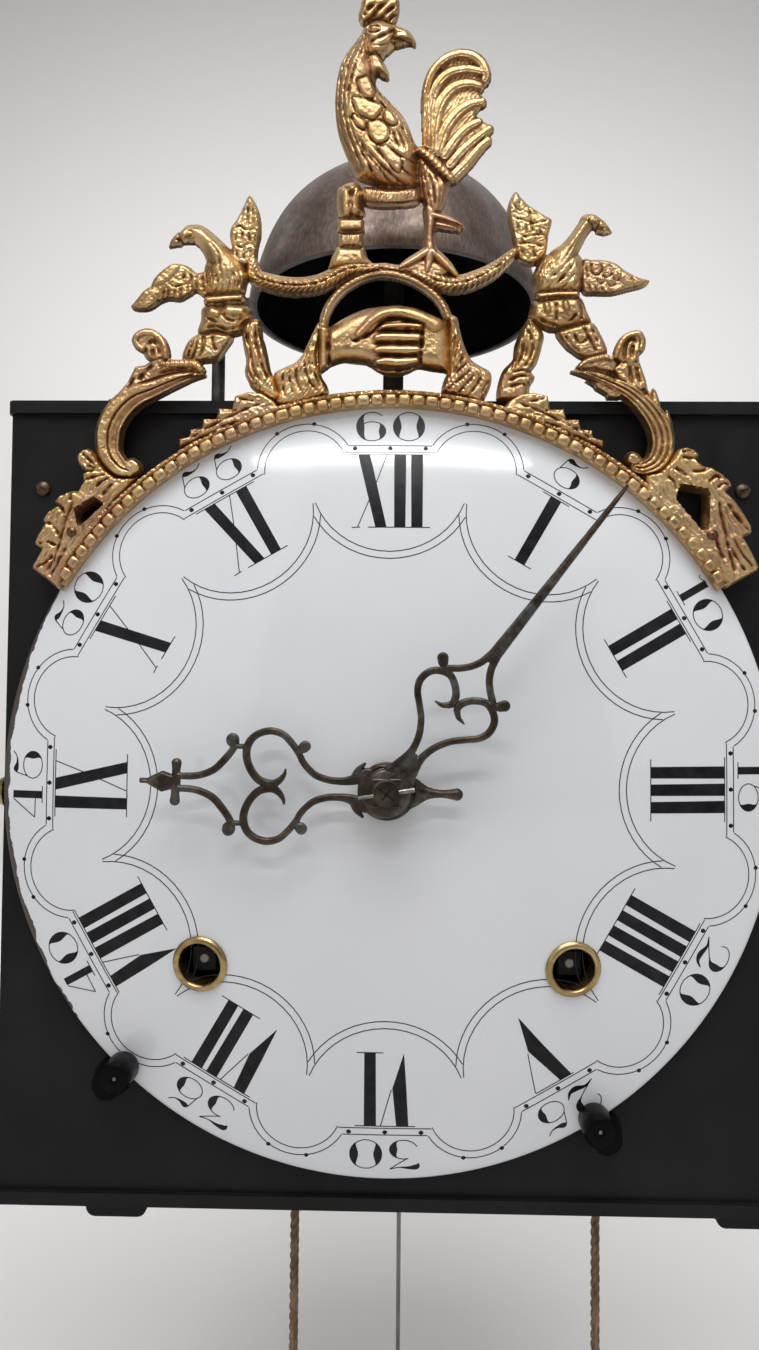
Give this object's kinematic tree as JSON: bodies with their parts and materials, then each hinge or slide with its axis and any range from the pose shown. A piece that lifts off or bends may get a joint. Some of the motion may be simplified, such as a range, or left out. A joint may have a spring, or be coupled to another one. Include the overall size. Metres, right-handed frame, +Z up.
{
  "type": "comtoise clock",
  "caption": "Weight-driven striking wall clock with a sheet-iron case, domed enamel dial, pierced hands, cast brass cockerel fronton and a bell on top.",
  "frame": {"origin": "centre of the case in the plane of the runners' undersides", "axes": "+X to the right seen from the front, +Y from the dial to the back, +Z up"},
  "size_m": [0.2598, 0.1888, 0.5288],
  "materials": {
    "iron_black": "satin black paint on sheet iron",
    "screw_steel": "bright worn steel",
    "movement_steel": "dark wrought iron",
    "pendulum_wire": "drawn wire",
    "hook_iron": "dark forged",
    "enamel": "glossy white vitreous enamel on copper",
    "hand_iron": "dark wrought with brown patina",
    "bell_metal": "brown-grey oxidised bronze",
    "hemp": "twisted hemp",
    "cast_brass": "polished casting with dark recesses",
    "trim_brass": "turned",
    "wheel_brass": "filed",
    "barrel_iron": "turned iron"
  },
  "bodies": {
    "case": {"feet": "iron_black", "bottom_plate": "iron_black", "top_plate": "iron_black", "pillars": "iron_black", "front_bars": "movement_steel", "rear_bars": "movement_steel", "front_panel": "iron_black", "panel_screws": "screw_steel", "rear_panel": "iron_black", "door_pins": "screw_steel", "dial": "enamel", "winding_grommets": "trim_brass", "dial_pegs": "iron_black", "fronton_band": "cast_brass", "fronton_left": "cast_brass", "fronton_right": "cast_brass", "fronton_arch": "cast_brass", "clasped_hands": "cast_brass", "cockerel": "cast_brass", "fronton_nails": "cast_brass", "bell": "bell_metal", "bell_stand": "movement_steel", "bell_nut": "movement_steel", "hammer_bracket": "movement_steel", "suspension_cock": "movement_steel", "strike_rope": "hemp", "going_rope": "hemp", "strike_hook": "hook_iron", "going_hook": "hook_iron"},
    "minute": {"minute_arbor": "movement_steel", "cannon_wheel": "wheel_brass", "minute_hand": "hand_iron", "hand_collet": "hand_iron", "hand_pin": "screw_steel"},
    "drive": {"drive_wheel": "wheel_brass"},
    "motion": {"motion_wheel": "wheel_brass"},
    "hour": {"hour_wheel": "wheel_brass", "hour_hand": "hand_iron"},
    "pendulum": {"pendulum_rod": "pendulum_wire"},
    "anchor_and_crutch": {"anchor": "movement_steel", "crutch": "movement_steel"},
    "escape": {"escape_wheel": "wheel_brass"},
    "third": {"third_wheel": "wheel_brass"},
    "second": {"second_wheel": "wheel_brass"},
    "going_great": {"going_great_wheel": "wheel_brass", "going_click": "movement_steel"},
    "going_drum": {"going_barrel": "barrel_iron", "going_winding": "hemp"},
    "strike_drum": {"strike_barrel": "barrel_iron", "strike_winding": "hemp"},
    "strike_great": {"strike_great_wheel": "wheel_brass", "strike_click": "movement_steel"},
    "pins": {"pin_wheel": "wheel_brass"},
    "warning": {"warning_wheel": "wheel_brass"},
    "fly_blades": {"fly": "movement_steel"},
    "hammer_arm": {"hammer": "movement_steel"},
    "door_left": {"left_door": "iron_black"},
    "door_right": {"right_door": "iron_black"},
    "latch_left": {"left_latch": "trim_brass"},
    "latch_right": {"right_latch": "trim_brass"}
  },
  "joints": [
    {"name": "minute_hand_turn", "type": "hinge", "parent": "case", "child": "minute", "pos_m": [0, -0.056, 0.135], "axis": [0, 1, 0], "continuous": true},
    {"name": "drive_wheel_turn", "type": "hinge", "parent": "case", "child": "drive", "pos_m": [0.0555, -0.056, 0.13504], "axis": [0, 1, 0], "continuous": true},
    {"name": "motion_wheel_turn", "type": "hinge", "parent": "case", "child": "motion", "pos_m": [-0.02674, -0.06, 0.11628], "axis": [0, 1, 0], "continuous": true},
    {"name": "hour_hand_turn", "type": "hinge", "parent": "case", "child": "hour", "pos_m": [0, -0.065, 0.135], "axis": [0, 1, 0], "continuous": true},
    {"name": "pendulum_swing", "type": "hinge", "parent": "case", "child": "pendulum", "pos_m": [0.005, 0.059, 0.20499], "axis": [0, 1, 0], "range_deg": [-3, 3]},
    {"name": "anchor_rock", "type": "hinge", "parent": "case", "child": "anchor_and_crutch", "pos_m": [0.005, 0, 0.20499], "axis": [0, 1, 0], "range_deg": [-3.05, 3.05]},
    {"name": "escape_turn", "type": "hinge", "parent": "case", "child": "escape", "pos_m": [0.005, 0, 0.17671], "axis": [0, 1, 0], "range_deg": [-3.05, 3.05]},
    {"name": "third_turn", "type": "hinge", "parent": "case", "child": "third", "pos_m": [0.005, 0, 0.14993], "axis": [0, 1, 0], "range_deg": [-0.41, 0.41]},
    {"name": "second_turn", "type": "hinge", "parent": "case", "child": "second", "pos_m": [0.0555, 0, 0.13504], "axis": [0, 1, 0], "range_deg": [-0.06, 0.06]},
    {"name": "going_great_turn", "type": "hinge", "parent": "case", "child": "going_great", "pos_m": [0.0555, 0.021, 0.082], "axis": [0, 1, 0], "range_deg": [-0.01, 0.01]},
    {"name": "going_winding_turn", "type": "hinge", "parent": "case", "child": "going_drum", "pos_m": [0.0555, 0, 0.082], "axis": [0, 1, 0], "continuous": true},
    {"name": "strike_winding_turn", "type": "hinge", "parent": "case", "child": "strike_drum", "pos_m": [-0.0555, 0, 0.082], "axis": [0, 1, 0], "continuous": true},
    {"name": "warning_turn", "type": "hinge", "parent": "case", "child": "warning", "pos_m": [-0.0555, 0, 0.16744], "axis": [0, 1, 0], "range_deg": [0, 140.8]},
    {"name": "fly_turn", "type": "hinge", "parent": "case", "child": "fly_blades", "pos_m": [-0.0555, 0, 0.19421], "axis": [0, 1, 0], "range_deg": [-1056.1, 0.1]},
    {"name": "pin_wheel_turn", "type": "hinge", "parent": "case", "child": "pins", "pos_m": [-0.0555, 0, 0.13504], "axis": [0, 1, 0], "range_deg": [-17.61, 0.01]},
    {"name": "strike_great_turn", "type": "hinge", "parent": "case", "child": "strike_great", "pos_m": [-0.0555, 0.021, 0.082], "axis": [0, 1, 0], "range_deg": [-0.01, 1.47]},
    {"name": "hammer_lift", "type": "hinge", "parent": "case", "child": "hammer_arm", "pos_m": [-0.08, 0.05, 0.25], "axis": [0, 0, 1], "range_deg": [-12.01, 0.01]},
    {"name": "left_door_hinge", "type": "hinge", "parent": "case", "child": "door_left", "pos_m": [-0.1187, 0.0693, 0.13], "axis": [0, 0, -1], "range_deg": [0, 110]},
    {"name": "right_door_hinge", "type": "hinge", "parent": "case", "child": "door_right", "pos_m": [0.1187, 0.0693, 0.13], "axis": [0, 0, 1], "range_deg": [0, 110]},
    {"name": "left_latch_turn", "type": "hinge", "parent": "door_left", "child": "latch_left", "pos_m": [-0.121, -0.0585, 0.13], "axis": [1, 0, 0], "range_deg": [0, 90]},
    {"name": "right_latch_turn", "type": "hinge", "parent": "door_right", "child": "latch_right", "pos_m": [0.121, -0.0585, 0.13], "axis": [1, 0, 0], "range_deg": [0, 90]}
  ],
  "couplings": [
    {"joint": "drive_wheel_turn", "follows": "minute_hand_turn", "ratio": -1},
    {"joint": "motion_wheel_turn", "follows": "minute_hand_turn", "ratio": -0.33333},
    {"joint": "hour_hand_turn", "follows": "minute_hand_turn", "ratio": 0.083333},
    {"joint": "anchor_rock", "follows": "pendulum_swing", "ratio": 1},
    {"joint": "escape_turn", "follows": "pendulum_swing", "ratio": 1},
    {"joint": "third_turn", "follows": "pendulum_swing", "ratio": -0.13333},
    {"joint": "second_turn", "follows": "pendulum_swing", "ratio": 0.016667},
    {"joint": "going_great_turn", "follows": "pendulum_swing", "ratio": -0.0013889},
    {"joint": "fly_turn", "follows": "warning_turn", "ratio": -7.5},
    {"joint": "pin_wheel_turn", "follows": "warning_turn", "ratio": -0.125},
    {"joint": "strike_great_turn", "follows": "warning_turn", "ratio": 0.010417},
    {"joint": "hammer_lift", "follows": "warning_turn", "ratio": -0.085227}
  ]
}
